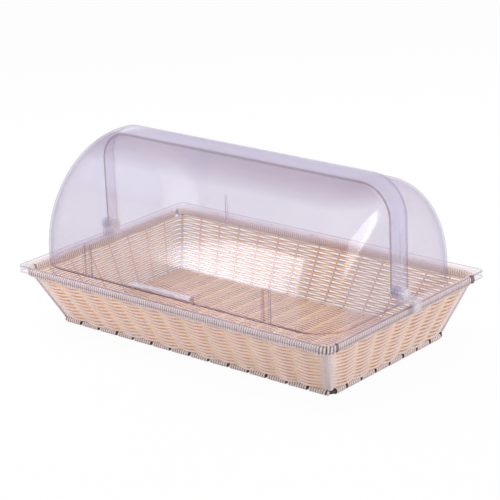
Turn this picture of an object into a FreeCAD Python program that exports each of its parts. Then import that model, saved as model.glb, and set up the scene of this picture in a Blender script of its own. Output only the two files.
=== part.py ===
import FreeCAD, Part
import Sketcher
import math
import os
import re

# Countertop bread display bin: a woven basket on a steel wire frame, with a
# clear cover on its rim. The cover's front hood rolls back over the fixed rear
# hood about two pivots at the middle of the short sides.
# Millimetres. +Z is up, X runs along the long side, the front faces -Y, and the
# origin is on the table under the middle of the basket.

SIZES = {
    # Clear cover frame: a flat flange with a skirt that hooks over the rim
    "frame_length": 560,
    "frame_depth": 350,
    "frame_corner": 7,
    "frame_edge_round": 1.2,
    "flange_thickness": 3,
    "end_flange_width": 20,
    "side_flange_width": 25,
    "skirt_height": 10,
    "skirt_thickness": 2.5,
    "opening_corner": 48,
    # Basket: wound rim, wound foot, wire rings, woven walls and floor. A wall swells
    # by the crests where a strand passes over a wire, and by the valleys behind it.
    "basket_height": 89.7,
    "seat_gap": 0.3,
    "rim_gap": 1,
    "rim_width": 9,
    "rim_height": 13.5,
    "rim_round": 4,
    "foot_length": 492,
    "foot_depth": 260,
    "foot_width": 9,
    "foot_height": 9,
    "foot_round": 2.5,
    "ring_rod": 5,
    "rim_bend": 16,
    "foot_bend": 8,
    "bare_corner": 6,
    "stake_rod": 2.5,
    "post_rod": 4,
    "wire_gap": 0.2,
    "weave_rows": 22,
    "strand_crest": 3.1,
    "strand_valley": 1.75,
    "post_crest": 3.6,
    "post_valley": 2.6,
    "wall_joint": 0.3,
    "floor_thickness": 6,
    "floor_gap": 0.3,
    "long_side_stakes": 13,
    "short_side_stakes": 7,
    # Hoods: a quarter of a rounded barrel each, with a short straight foot
    "pivot_rise": 16,
    "hood_thickness": 2.8,
    "hood_rest": 2.9,
    "hood_seat_gap": 0.3,
    "plug_gap": 1.5,
    "front_hood_overlap": 16,
    "rear_hood_overlap": 10.6,
    "rear_hood_depth": 6,
    # Inside ribs of the hoods, and the rear hood's lugs and snaps
    "rib_inset": 51,
    "front_rib_width": 12,
    "front_rib_height": 48,
    "front_rib_depth": 3.2,
    "rear_rib_width": 4,
    "rear_rib_height": 36,
    "rear_rib_depth": 2,
    "foot_pad_diameter": 8,
    "foot_pad_height": 7,
    "lug_inset": 22,
    "lug_width": 6,
    "lug_height": 2.5,
    "lug_reach": 8.5,
    "middle_lug_offset": 8,
    "snap_width": 8,
    "snap_height": 2.5,
    "snap_reach": 3,
    "snap_gap": 0.2,
    # Finger lip of the front hood
    "lip_length": 110,
    "lip_offset": 16,
    "lip_reach": 12,
    "lip_rise": 12.5,
    "lip_thickness": 2.8,
    "lip_bow": 3,
    "gusset_thickness": 2.5,
    # Pivots: a bracket over the frame's edge, a pin, a spacer and an inner cap
    "pin_rod": 6,
    "pin_gap": 0.05,
    "knob_diameter": 16,
    "knob_thickness": 4.4,
    "knob_ring_diameter": 11,
    "knob_ring_width": 1.2,
    "knob_ring_depth": 0.8,
    "upright_width": 19,
    "upright_thickness": 4,
    "upright_gap": 0.5,
    "arm_width": 17,
    "arm_offset": 12,
    "arm_height": 8.5,
    "tab_thickness": 3.9,
    "tab_gap": 0.1,
    "spacer_diameter": 14,
    "cap_diameter": 16,
    "cap_thickness": 4,
    "cap_floor": 1.2,
    "side_gap": 0.1,
    # How far a cutting shape runs past what it cuts
    "overrun": 5,
}

# Places worked out from the sizes
FRAME_TOP = "(basket_height + seat_gap + flange_thickness)"
SKIRT_BOTTOM = "(%s - skirt_height)" % FRAME_TOP
PIVOT_HEIGHT = "(%s + pivot_rise)" % FRAME_TOP
OPENING_HALF_LENGTH = "(frame_length / 2 - end_flange_width)"
OPENING_HALF_DEPTH = "(frame_depth / 2 - side_flange_width)"
RIM_OUTSIDE_X = "(frame_length / 2 - skirt_thickness - rim_gap)"
RIM_OUTSIDE_Y = "(frame_depth / 2 - skirt_thickness - rim_gap)"
RIM_X = "(%s - rim_width / 2)" % RIM_OUTSIDE_X
RIM_Y = "(%s - rim_width / 2)" % RIM_OUTSIDE_Y
RIM_Z = "(basket_height - rim_height / 2)"
FOOT_X = "(foot_length / 2 - foot_width / 2)"
FOOT_Y = "(foot_depth / 2 - foot_width / 2)"
FOOT_Z = "(foot_height / 2)"
BASE_STAKE_Z = "(%s + ring_rod / 2 + stake_rod / 2 + wire_gap)" % FOOT_Z
FRONT_RADIUS = "(%s + hood_rest + hood_thickness)" % OPENING_HALF_DEPTH
FRONT_HALF_LENGTH = "(%s + hood_rest + hood_thickness)" % OPENING_HALF_LENGTH
FRONT_CORNER = "(opening_corner + hood_rest + hood_thickness)"
FRONT_DROP = "(pivot_rise - hood_seat_gap)"
REAR_RADIUS = "(%s - plug_gap)" % OPENING_HALF_DEPTH
REAR_HALF_LENGTH = "(%s - plug_gap)" % OPENING_HALF_LENGTH
REAR_CORNER = "(opening_corner - plug_gap)"
REAR_DROP = "(pivot_rise + rear_hood_depth)"
UPRIGHT_X = "(%s + upright_gap)" % FRONT_HALF_LENGTH

document = FreeCAD.newDocument("bread_display_bin")
sheet = document.addObject("Spreadsheet::Sheet", "sizes")
for row, (alias, value) in enumerate(SIZES.items(), start=1):
    sheet.set("A%d" % row, alias)
    sheet.set("B%d" % row, str(value))
    sheet.setAlias("B%d" % row, alias)
document.recompute()

pieces = []


def formula(text):
    """Point every size's name in a sum at its cell."""
    def cell(found):
        word = found.group()
        return "sizes." + word if word in SIZES else word
    return re.sub(r"[a-z][a-z_]*", cell, text)


def number(text):
    """The present value of a sum of named sizes."""
    tie(probe, "Value", text)
    probe.recompute()
    return probe.Value


def tie(item, name, text):
    item.setExpression(name, formula(text))


def put(item, x="0", y="0", z="0", turn=None):
    """Give an object its place, worked out from the sizes."""
    if turn is not None:
        item.Placement = FreeCAD.Placement(FreeCAD.Vector(), turn)
    for axis, text in (("x", x), ("y", y), ("z", z)):
        if text != "0":
            tie(item, "Placement.Base." + axis, text)
    return item


def about(axis, angle):
    return FreeCAD.Rotation(FreeCAD.Vector(*axis), angle)


X_AXIS, Y_AXIS, Z_AXIS = (1, 0, 0), (0, 1, 0), (0, 0, 1)
probe = document.addObject("App::FeaturePython", "probe")
probe.addProperty("App::PropertyFloat", "Value")


def keep(item, label):
    """A finished sub-part: its label names its file."""
    item.Label = label
    pieces.append(item)
    return item


def box(name, length, width, height, x="0", y="0", z="0", turn=None):
    item = document.addObject("Part::Box", name)
    tie(item, "Length", length)
    tie(item, "Width", width)
    tie(item, "Height", height)
    return put(item, x, y, z, turn)


def cylinder(name, radius, height, x="0", y="0", z="0", turn=None):
    item = document.addObject("Part::Cylinder", name)
    tie(item, "Radius", radius)
    tie(item, "Height", height)
    return put(item, x, y, z, turn)


def fuse(name, items):
    item = document.addObject("Part::MultiFuse", name)
    item.Shapes = items
    return item


def cut(name, base, tool):
    item = document.addObject("Part::Cut", name)
    item.Base = base
    item.Tool = tool
    return item


def common(name, base, tool):
    item = document.addObject("Part::Common", name)
    item.Base = base
    item.Tool = tool
    return item


def mirrored(name, source):
    """The same piece on the other end of the bin."""
    item = document.addObject("Part::Mirroring", name)
    item.Source = source
    item.Normal = FreeCAD.Vector(*X_AXIS)
    return item


# Sketches

def plane(body, role):
    return next(item for item in body.Origin.OriginFeatures if item.Role == role)


def sketch_on(body, role, name):
    sketch = body.newObject("Sketcher::SketchObject", name)
    sketch.AttachmentSupport = (plane(body, role), [""])
    sketch.MapMode = "FlatFace"
    return sketch


def dimension(sketch, kind, places, text):
    """A sketch dimension bound to the sizes."""
    index = sketch.addConstraint(Sketcher.Constraint(kind, *places, number(text)))
    sketch.setExpression("Constraints[%d]" % index, formula(text))


def line(sketch, start, end):
    return sketch.addGeometry(Part.LineSegment(FreeCAD.Vector(*start, 0), FreeCAD.Vector(*end, 0)))


def quarter(sketch, centre, radius, first):
    """A quarter circle, anticlockwise from the first angle in degrees."""
    circle = Part.Circle(FreeCAD.Vector(*centre, 0), FreeCAD.Vector(*Z_AXIS), radius)
    start, end = math.radians(first), math.radians(first + 90)
    return sketch.addGeometry(Part.ArcOfCircle(circle, start, end))


START, END = range(1, 3)
ORIGIN = (-START, START)
SIDES = ("back", "left", "front", "right")


def rounded_rectangle(sketch, half_width, half_height, radius):
    """A rectangle about the sketch's origin, with four equal round corners."""
    w, v, r = number(half_width), number(half_height), number(radius)
    bottom = line(sketch, (r - w, -v), (w - r, -v))
    right = line(sketch, (w, r - v), (w, v - r))
    top = line(sketch, (w - r, v), (r - w, v))
    left = line(sketch, (-w, v - r), (-w, r - v))
    corners = [quarter(sketch, centre, r, first) for centre, first in (
        ((w - r, r - v), 270), ((w - r, v - r), 0), ((r - w, v - r), 90), ((r - w, r - v), 180))]
    sides = [bottom, right, top, left]
    for index, corner in enumerate(corners):
        following = sides[(index + 1) % len(sides)]
        sketch.addConstraint(Sketcher.Constraint("Tangent", sides[index], END, corner, START))
        sketch.addConstraint(Sketcher.Constraint("Tangent", corner, END, following, START))
    for corner in corners[1:]:
        sketch.addConstraint(Sketcher.Constraint("Equal", corners[0], corner))
    for flat in (bottom, top):
        sketch.addConstraint(Sketcher.Constraint("Horizontal", flat))
    for upright in (right, left):
        sketch.addConstraint(Sketcher.Constraint("Vertical", upright))
    dimension(sketch, "Radius", (corners[0],), radius)
    dimension(sketch, "DistanceX", (*ORIGIN, right, START), half_width)
    dimension(sketch, "DistanceX", (left, START, *ORIGIN), half_width)
    dimension(sketch, "DistanceY", (*ORIGIN, top, START), half_height)
    dimension(sketch, "DistanceY", (bottom, START, *ORIGIN), half_height)


def half_plan(sketch, half_length, depth, radius):
    """Half of a hood's plan, in front of the pivots' axis, with two round corners."""
    w, v, r = number(half_length), number(depth), number(radius)
    axis = line(sketch, (-w, 0), (w, 0))
    right = line(sketch, (w, 0), (w, r - v))
    right_corner = quarter(sketch, (w - r, r - v), r, 270)
    front = line(sketch, (w - r, -v), (r - w, -v))
    left_corner = quarter(sketch, (r - w, r - v), r, 180)
    left = line(sketch, (-w, r - v), (-w, 0))
    joins = (
        ("Coincident", axis, END, right, START),
        ("Tangent", right, END, right_corner, END),
        ("Tangent", right_corner, START, front, START),
        ("Tangent", front, END, left_corner, END),
        ("Tangent", left_corner, START, left, START),
        ("Coincident", left, END, axis, START),
        ("Equal", right_corner, left_corner),
        ("PointOnObject", axis, START, -1),
        ("Horizontal", axis),
        ("Horizontal", front),
        ("Vertical", right),
        ("Vertical", left),
    )
    for join in joins:
        sketch.addConstraint(Sketcher.Constraint(*join))
    dimension(sketch, "Radius", (right_corner,), radius)
    dimension(sketch, "DistanceX", (*ORIGIN, right, START), half_length)
    dimension(sketch, "DistanceX", (left, END, *ORIGIN), half_length)
    dimension(sketch, "DistanceY", (front, START, *ORIGIN), depth)


def pad(body, sketch, length, name, down=False):
    feature = body.newObject("PartDesign::Pad", name)
    feature.Profile = sketch
    feature.Reversed = down
    tie(feature, "Length", length)
    return feature


def pocket(body, sketch, length, name):
    """Cut upwards from the sketch's plane."""
    feature = body.newObject("PartDesign::Pocket", name)
    feature.Profile = sketch
    feature.Reversed = True
    tie(feature, "Length", length)
    return feature


# Wire rings of the basket: one under the rim's winding, one inside the foot's

def ring_lengths(name, half_length, half_depth, height, bend, radius):
    """The straight runs and bends of a round bar bent into a rectangle, by side."""
    parts = {}
    runs = (
        ("front", "-(%s - %s)" % (half_length, bend), "-" + half_depth, half_length, about(Y_AXIS, 90)),
        ("back", "-(%s - %s)" % (half_length, bend), half_depth, half_length, about(Y_AXIS, 90)),
        ("left", "-" + half_length, "%s - %s" % (half_depth, bend), half_depth, about(X_AXIS, 90)),
        ("right", half_length, "%s - %s" % (half_depth, bend), half_depth, about(X_AXIS, 90)),
    )
    for side, x, y, half, turn in runs:
        run = "2 * (%s - %s)" % (half, bend)
        parts[side] = cylinder("%s_%s" % (name, side), radius, run, x, y, height, turn)
    bends = (("back_right", 1, 1, 0), ("back_left", -1, 1, 90),
             ("front_left", -1, -1, 180), ("front_right", 1, -1, 270))
    for corner, sign_x, sign_y, angle in bends:
        turned = document.addObject("Part::Torus", "%s_%s" % (name, corner))
        turned.Angle3 = 90
        tie(turned, "Radius1", bend)
        tie(turned, "Radius2", radius)
        put(turned, "%d * (%s - %s)" % (sign_x, half_length, bend),
            "%d * (%s - %s)" % (sign_y, half_depth, bend), height, about(Z_AXIS, angle))
        parts[corner] = turned
    return parts


RINGS = {
    "rim": (RIM_X, RIM_Y, RIM_Z, "rim_bend"),
    "foot": (FOOT_X, FOOT_Y, FOOT_Z, "foot_bend"),
}
for level in RINGS:
    lengths = ring_lengths(level + "_ring", *RINGS[level], "ring_rod / 2")
    keep(fuse(level + "_ring", list(lengths.values())), "top_rim_rod" if level == "rim" else "foot_rim_rod")


# Straight wires: corner posts, stakes in the walls and stakes across the floor

def wire(low, high, diameter, along, grow=0):
    """A wire between two points on the rings' centre lines, cut short of the rings."""
    direction = (high - low).normalize()
    slant = abs(direction.dot(along))
    trim = (ring_trim + slant * diameter / 2) / math.sqrt(1 - slant ** 2) - grow
    start = low + direction * trim
    return Part.makeCylinder(diameter / 2 + grow, (high - low).Length - 2 * trim, start, direction)


rim = FreeCAD.Vector(number(RIM_X), number(RIM_Y), number(RIM_Z))
foot = FreeCAD.Vector(number(FOOT_X), number(FOOT_Y), number(FOOT_Z))
wire_gap = number("wire_gap")
ring_trim = number("ring_rod / 2 + wire_gap")
bend_share = 1 - math.cos(math.radians(45))
rim_inset = number("rim_bend") * bend_share
foot_inset = number("foot_bend") * bend_share


def wires(name, shapes):
    item = document.addObject("Part::Feature", name)
    item.Shape = shapes[0] if len(shapes) == 1 else Part.makeCompound(shapes)
    return item


def stake_lines(side):
    """The lower and upper end of each stake of one wall, fanned out evenly."""
    long_side = side in ("front", "back")
    count = int(number("long_side_stakes" if long_side else "short_side_stakes"))
    sign = -1 if side in ("front", "left") else 1
    lines = []
    for index in range(count):
        share = 2 * (index + 1) / (count + 1) - 1
        if long_side:
            low = FreeCAD.Vector(share * foot.x, sign * foot.y, foot.z)
            high = FreeCAD.Vector(share * rim.x, sign * rim.y, rim.z)
        else:
            low = FreeCAD.Vector(sign * foot.x, share * foot.y, foot.z)
            high = FreeCAD.Vector(sign * rim.x, share * rim.y, rim.z)
        lines.append((low, high))
    return lines


def corner_line(sign_x, sign_y):
    """The ends of a corner post, at the middle of the two rings' bends."""
    low = FreeCAD.Vector(sign_x * (foot.x - foot_inset), sign_y * (foot.y - foot_inset), foot.z)
    high = FreeCAD.Vector(sign_x * (rim.x - rim_inset), sign_y * (rim.y - rim_inset), rim.z)
    return low, high


stake_rod, post_rod = number("stake_rod"), number("post_rod")
stake_channels, post_channels = {}, []
for side in SIDES:
    along = FreeCAD.Vector(*(X_AXIS if side in ("front", "back") else Y_AXIS))
    lines = stake_lines(side)
    keep(wires(side + "_stake_wires", [wire(low, high, stake_rod, along) for low, high in lines]),
         "stakes_" + side)
    stake_channels[side] = [wire(low, high, stake_rod, along, wire_gap) for low, high in lines]
CORNERS = (("front_left", -1, -1), ("front_right", 1, -1), ("back_left", -1, 1), ("back_right", 1, 1))
for name, sign_x, sign_y in CORNERS:
    low, high = corner_line(sign_x, sign_y)
    along = FreeCAD.Vector(sign_y, -sign_x, 0).normalize()
    keep(wires("post_wire_" + name, [wire(low, high, post_rod, along)]), "corner_post_" + name)
    post_channels.append(wire(low, high, post_rod, along, wire_gap))


def base_wires(grow):
    """Stakes across the floor, one in line with each stake of the long walls."""
    half = number("%s - stake_rod / 2 - wire_gap" % FOOT_Y) + grow
    shapes = []
    for low, _ in stake_lines("front"):
        start = FreeCAD.Vector(low.x, -half, number(BASE_STAKE_Z))
        shapes.append(Part.makeCylinder(stake_rod / 2 + grow, 2 * half, start, FreeCAD.Vector(*Y_AXIS)))
    return shapes


keep(wires("base_stake_wires", base_wires(0)), "base_stakes")
base_channels = base_wires(wire_gap)
channels = {
    side: wires(side + "_channels", stake_channels[side] + post_channels) for side in stake_channels}


# Wound bindings round the rim ring and the foot ring, open at the bends' middles

def binding_ring(level, width, tall, edge_round):
    """A closed winding with rounded edges, about its ring."""
    half_length, half_depth, height, bend = RINGS[level]
    body = document.addObject("PartDesign::Body", level + "_winding")
    outside = sketch_on(body, "XY_Plane", level + "_winding_outside")
    rounded_rectangle(outside, "%s + %s / 2" % (half_length, width), "%s + %s / 2" % (half_depth, width),
                      "%s + %s / 2" % (bend, width))
    pad(body, outside, tall, level + "_winding_block")
    inside = sketch_on(body, "XY_Plane", level + "_winding_inside")
    rounded_rectangle(inside, "%s - %s / 2" % (half_length, width), "%s - %s / 2" % (half_depth, width),
                      "%s - %s / 2" % (bend, width))
    hollow = pocket(body, inside, tall, level + "_winding_hollow")
    document.recompute()
    middle = hollow.Shape.BoundBox.Center.z
    edges = [
        "Edge%d" % index for index, edge in enumerate(hollow.Shape.Edges, start=1)
        if edge.BoundBox.ZLength < abs(edge.BoundBox.Center.z - middle)]
    rounding = body.newObject("PartDesign::Fillet", level + "_winding_rounding")
    rounding.Base = (hollow, edges)
    tie(rounding, "Radius", edge_round)
    return put(body, z="%s - %s / 2" % (height, tall))


def binding_zone(side, level, width, tall):
    """The room of one side's winding, with slanted ends short of the bends' middles."""
    half_length, half_depth, height, _ = RINGS[level]
    along, across = (half_length, half_depth) if side in ("front", "back") else (half_depth, half_length)
    item = document.addObject("Part::Wedge", "%s_%s_zone" % (side, level))
    tie(item, "Ymin", "%s - %s" % (across, width))
    tie(item, "Ymax", "%s + %s" % (across, width))
    for prefix, sign in (("", "-"), ("2", "+")):
        half = "(%s - bare_corner %s %s)" % (along, sign, width)
        tie(item, "X%smin" % prefix, "-" + half)
        tie(item, "X%smax" % prefix, half)
        tie(item, "Z%smin" % prefix, "%s - %s" % (height, tall))
        tie(item, "Z%smax" % prefix, "%s + %s" % (height, tall))
    return put(item, turn=about(Z_AXIS, 90 * SIDES.index(side)))


for level, width, tall, edge_round in (
        ("rim", "rim_width", "rim_height", "rim_round"),
        ("foot", "foot_width", "foot_height", "foot_round")):
    winding = binding_ring(level, width, tall, edge_round)
    tunnels = ring_lengths(level + "_tunnel", *RINGS[level], "ring_rod / 2 + wire_gap")
    for side in SIDES:
        zone = binding_zone(side, level, width, tall)
        wound = common("%s_%s_winding" % (side, level), winding, zone)
        for place, tunnel in tunnels.items():
            if side in place:
                wound = cut("%s_%s_hollow" % (side, level), wound, tunnel)
        crossing = list(stake_channels[side])
        if level == "foot" and side in ("front", "back"):
            crossing += base_channels
        crossings = wires("%s_%s_crossings" % (side, level), crossing)
        keep(cut("%s_%s_wound" % (side, level), wound, crossings), "%s_binding_%s" % (level, side))


# Woven walls: four sloping panels that swell where a strand passes outside or inside a wire

WALL_BOTTOM = "foot_height"
WALL_TOP = "(basket_height - rim_height)"
weave_rows = int(number("weave_rows"))
wall_bottom, wall_top = number(WALL_BOTTOM), number(WALL_TOP)
row_half = (wall_top - wall_bottom) / (2 * weave_rows)
lean = {
    "along x": math.atan2(rim.x - foot.x, rim.z - foot.z),
    "along y": math.atan2(rim.y - foot.y, rim.z - foot.z),
}
crest, valley = number("strand_crest"), number("strand_valley")
post_crest, post_valley = number("post_crest"), number("post_valley")
corner_bend, wall_joint = number("rim_bend"), number("wall_joint")
long_half = (int(number("long_side_stakes")) + 1) // 2
short_half = (int(number("short_side_stakes")) + 1) // 2


def panel_line(side, height):
    """Places along one panel at a height, each with its outward direction and its number from the middle."""
    share = (height - foot.z) / (rim.z - foot.z)
    middle = foot + (rim - foot) * share
    inset = foot_inset + (rim_inset - foot_inset) * share
    joint = middle.y - corner_bend
    if side in ("front", "back"):
        sign = -1 if side == "front" else 1
        line = [(FreeCAD.Vector(middle.x * index / long_half, sign * middle.y, height),
                 FreeCAD.Vector(0, sign, 0), index) for index in range(1 - long_half, long_half)]
        for way in (-1, 1):
            post = (FreeCAD.Vector(way * (middle.x - inset), sign * (middle.y - inset), height),
                    FreeCAD.Vector(way, sign, 0).normalize(), way * long_half)
            end = (FreeCAD.Vector(way * middle.x, sign * joint, height), FreeCAD.Vector(way, 0, 0), None)
            line = [end, post] + line if way == -1 else line + [post, end]
        return line
    sign = -1 if side == "left" else 1
    line = [(FreeCAD.Vector(sign * middle.x, middle.y * index / short_half, height),
             FreeCAD.Vector(sign, 0, 0), index + 1) for index in range(1 - short_half, short_half)]
    ends = [(FreeCAD.Vector(sign * middle.x, way * (joint - wall_joint), height),
             FreeCAD.Vector(sign, 0, 0), None) for way in (-1, 1)]
    return [ends[0]] + line + [ends[1]]


def panel_section(side, height, row):
    """The closed outline of one panel at a height, swollen outwards and inwards in turn."""
    outer, inner = [], []
    for place, outward, index in panel_line(side, height):
        slope = math.cos(lean["along x"] if abs(outward.x) > abs(outward.y) else lean["along y"])
        high, low = (post_crest, post_valley) if abs(outward.x * outward.y) > 0 else (crest, valley)
        if index is None or row is None:
            out = back = (high + low) / 2 / slope
        elif (index + row) % 2:
            out, back = high / slope, low / slope
        else:
            out, back = low / slope, high / slope
        outer.append(place + outward * out)
        inner.append(place - outward * back)
    ring = outer + inner[::-1]
    return Part.makePolygon(ring + ring[:1])


for side in SIDES:
    sections = [panel_section(side, wall_bottom, None)]
    for row in range(weave_rows):
        sections.append(panel_section(side, wall_bottom + row_half * (2 * row + 1), row))
    sections += [panel_section(side, wall_top, None)]
    panel = wires(side + "_weave", [Part.makeLoft(sections, True, True)])
    keep(cut(side + "_weave_open", panel, channels[side]), "woven_wall_" + side)


# Woven floor between the foot's windings, on the stakes that cross it

floor = document.addObject("PartDesign::Body", "floor_weave")
floor_plan = sketch_on(floor, "XY_Plane", "floor_plan")
rounded_rectangle(floor_plan, "foot_length / 2 - foot_width - floor_gap",
                  "foot_depth / 2 - foot_width - floor_gap", "foot_bend - foot_width / 2 - floor_gap")
pad(floor, floor_plan, "floor_thickness", "floor_layer")
put(floor, "0", "0", "%s - floor_thickness / 2" % BASE_STAKE_Z)
keep(cut("floor_weave_open", floor, wires("floor_channels", base_channels)), "woven_floor")


# Clear cover frame: flange, skirt and opening

frame = document.addObject("PartDesign::Body", "frame_moulding")
outline = sketch_on(frame, "XY_Plane", "frame_outline")
rounded_rectangle(outline, "frame_length / 2", "frame_depth / 2", "frame_corner")
pad(frame, outline, "skirt_height", "frame_block")
recess_plan = sketch_on(frame, "XY_Plane", "skirt_recess_plan")
rounded_rectangle(recess_plan, "frame_length / 2 - skirt_thickness", "frame_depth / 2 - skirt_thickness",
                  "frame_corner - skirt_thickness")
pocket(frame, recess_plan, "skirt_height - flange_thickness", "skirt_recess")
opening_plan = sketch_on(frame, "XY_Plane", "opening_plan")
rounded_rectangle(opening_plan, OPENING_HALF_LENGTH, OPENING_HALF_DEPTH, "opening_corner")
opening = pocket(frame, opening_plan, "skirt_height + overrun", "frame_opening")
document.recompute()
top_edges = []
for index, edge in enumerate(opening.Shape.Edges, start=1):
    bounds = edge.BoundBox
    outer = max(bounds.XMax - number("frame_length / 2 - frame_corner"),
                -bounds.XMin - number("frame_length / 2 - frame_corner"),
                bounds.YMax - number("frame_depth / 2 - frame_corner"),
                -bounds.YMin - number("frame_depth / 2 - frame_corner"))
    if bounds.ZMin > number("skirt_height - flange_thickness / 2") and outer > number("frame_corner / 2"):
        top_edges.append("Edge%d" % index)
frame_rounding = frame.newObject("PartDesign::Fillet", "frame_edge_rounding")
frame_rounding.Base = (opening, top_edges)
tie(frame_rounding, "Radius", "frame_edge_round")
put(frame, "0", "0", SKIRT_BOTTOM)
keep(frame, "cover_frame")


# Hoods, built about the pivots' axis with the hood to the front

def barrel(name, radius, half_length, corner, drop):
    """A solid half barrel with round shoulders, and a straight foot in front."""
    body = document.addObject("PartDesign::Body", name)
    plan = sketch_on(body, "XY_Plane", name + "_plan")
    half_plan(plan, half_length, radius, corner)
    turned = body.newObject("PartDesign::Revolution", name + "_dome")
    turned.Profile = plan
    turned.ReferenceAxis = (plan, ["H_Axis"])
    turned.Angle = 180
    turned.Reversed = True
    pad(body, plan, drop, name + "_foot", down=True)
    return body


def rib_block(name, x, width, height, face, drop):
    """An upright block with a rounded top, in front of an inside face."""
    back = "-%s" % face
    deep = "2 * overrun"
    low = "-(%s) - overrun" % drop
    block = box(name + "_block", width, deep, "%s - pivot_rise - %s / 2 - (%s)" % (height, width, low),
                "%s - %s / 2" % (x, width), "%s - %s" % (back, deep), low)
    head = cylinder(name + "_head", width + " / 2", deep, x, back,
                    "%s - pivot_rise - %s / 2" % (height, width), about(X_AXIS, 90))
    return fuse(name, [block, head])


def hood_shell(name, radius, half_length, corner, drop, ribs, overlap):
    """A thin barrel with its ribs left standing inside, open behind the overlap."""
    outside = barrel(name + "_outside", radius, half_length, corner, drop)
    inside = barrel(name + "_inside", radius + " - hood_thickness", half_length + " - hood_thickness",
                    corner + " - hood_thickness", drop + " + overrun")
    room = cut(name + "_room", inside, fuse(name + "_ribs", ribs))
    shell = cut(name + "_shell", outside, room)
    behind = box(name + "_behind", "2 * (%s + overrun)" % half_length, radius + " + overrun",
                 "%s + %s + 2 * overrun" % (radius, drop), "-(%s + overrun)" % half_length, overlap,
                 "-(%s + overrun)" % drop)
    return cut(name + "_front", shell, behind)


ALONG_X = about(Y_AXIS, 90)
PIN_BORE = "(pin_rod / 2 + pin_gap)"
SHOULDER_X = "(%s - %s)" % (REAR_HALF_LENGTH, REAR_CORNER)
rib_places = ("-(%s - rib_inset)" % SHOULDER_X, "%s - rib_inset" % SHOULDER_X)
lug_places = ("-(%s - lug_inset)" % SHOULDER_X, "middle_lug_offset", "%s - lug_inset" % SHOULDER_X)

# Front hood: shell, round ears behind the pivots, finger lip and pin bores
front_ribs = [
    rib_block("front_rib_%d" % index, x, "front_rib_width", "front_rib_height",
              "(%s - hood_thickness - front_rib_depth)" % FRONT_RADIUS, FRONT_DROP)
    for index, x in enumerate(rib_places, start=1)]
front_shell = hood_shell("front_hood", FRONT_RADIUS, FRONT_HALF_LENGTH, FRONT_CORNER, FRONT_DROP,
                         front_ribs, "front_hood_overlap")
ear_places = ("-" + FRONT_HALF_LENGTH, FRONT_HALF_LENGTH + " - hood_thickness")
ears = [cylinder("front_ear_%d" % index, "front_hood_overlap", "hood_thickness", x, turn=ALONG_X)
        for index, x in enumerate(ear_places, start=1)]

LIP_BACK = "(-(%s - hood_thickness / 2))" % FRONT_RADIUS
LIP_FRONT = "(-(%s + lip_reach))" % FRONT_RADIUS
LIP_TOP = "(lip_rise - pivot_rise)"
BOW_RADIUS = "((lip_length ^ 2 / 4 + lip_bow ^ 2) / (2 * lip_bow))"
ledge = common(
    "lip_ledge",
    box("lip_block", "lip_length", "%s - %s" % (LIP_BACK, LIP_FRONT), "lip_thickness",
        "-lip_offset - lip_length / 2", LIP_FRONT, LIP_TOP + " - lip_thickness"),
    cylinder("lip_bow_disc", BOW_RADIUS, "lip_thickness", "-lip_offset", "%s + %s" % (LIP_FRONT, BOW_RADIUS),
             LIP_TOP + " - lip_thickness"))


def gusset(index, x):
    """A plate that closes one end of the lip, narrowing down to the wall."""
    item = document.addObject("Part::Wedge", "lip_gusset_%d" % index)
    depth = "(hood_thickness / 2 + lip_reach - lip_bow)"
    for prefix, reach in (("", "hood_thickness"), ("2", depth)):
        tie(item, "X%smax" % prefix, "gusset_thickness")
        tie(item, "Z%smax" % prefix, reach)
    for name in ("Xmin", "X2min", "Zmin", "Z2min", "Ymin"):
        setattr(item, name, 0)
    tie(item, "Ymax", "lip_rise - lip_thickness / 2 - hood_seat_gap")
    return put(item, x, LIP_BACK, "-" + FRONT_DROP, about(X_AXIS, 90))


gussets = [gusset(1, "-lip_offset - lip_length / 2"),
           gusset(2, "-lip_offset + lip_length / 2 - gusset_thickness")]
front_solid = fuse("front_hood_solid", [front_shell] + ears + [ledge] + gussets)
front_bore = cylinder("front_hood_bore", PIN_BORE, "2 * (%s + overrun)" % FRONT_HALF_LENGTH,
                      "-(%s + overrun)" % FRONT_HALF_LENGTH, turn=ALONG_X)
front_hood = cut("front_hood_bored", front_solid, front_bore)
keep(put(front_hood, z=PIVOT_HEIGHT), "front_hood")

# Rear hood: shell, foot pads, lugs that lie on the flange and snaps under it
rear_ribs = [
    rib_block("rear_rib_%d" % index, x, "rear_rib_width", "rear_rib_height",
              "(%s - hood_thickness - rear_rib_depth)" % REAR_RADIUS, REAR_DROP)
    for index, x in enumerate(rib_places, start=1)]
rear_shell = hood_shell("rear_hood", REAR_RADIUS, REAR_HALF_LENGTH, REAR_CORNER, REAR_DROP,
                        rear_ribs, "rear_hood_overlap")
REAR_WALL_MIDDLE = "(%s - hood_thickness / 2)" % REAR_RADIUS
pads = [cylinder("foot_pad_%d" % index, "foot_pad_diameter / 2", "foot_pad_height", x,
                 "-(%s - foot_pad_diameter / 2)" % REAR_WALL_MIDDLE, "-" + REAR_DROP)
        for index, x in enumerate(rib_places, start=1)]
lugs = [box("lug_%d" % index, "lug_width", "lug_reach + hood_thickness / 2", "lug_height",
            "%s - lug_width / 2" % x, "-(%s + lug_reach)" % REAR_RADIUS, "-pivot_rise")
        for index, x in enumerate(lug_places, start=1)]
snaps = [box("snap_%d" % index, "snap_width", "snap_reach + hood_thickness / 2", "snap_height",
             "%s - snap_width / 2" % x, "-(%s + snap_reach)" % REAR_RADIUS,
             "-(pivot_rise + flange_thickness + snap_gap + snap_height)")
         for index, x in enumerate(rib_places + ("-middle_lug_offset",), start=1)]
rear_solid = fuse("rear_hood_solid", [rear_shell] + pads + lugs + snaps)
rear_bore = cylinder("rear_hood_bore", PIN_BORE, "2 * (%s + overrun)" % REAR_HALF_LENGTH,
                     "-(%s + overrun)" % REAR_HALF_LENGTH, turn=ALONG_X)
rear_hood = cut("rear_hood_bored", rear_solid, rear_bore)
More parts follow.
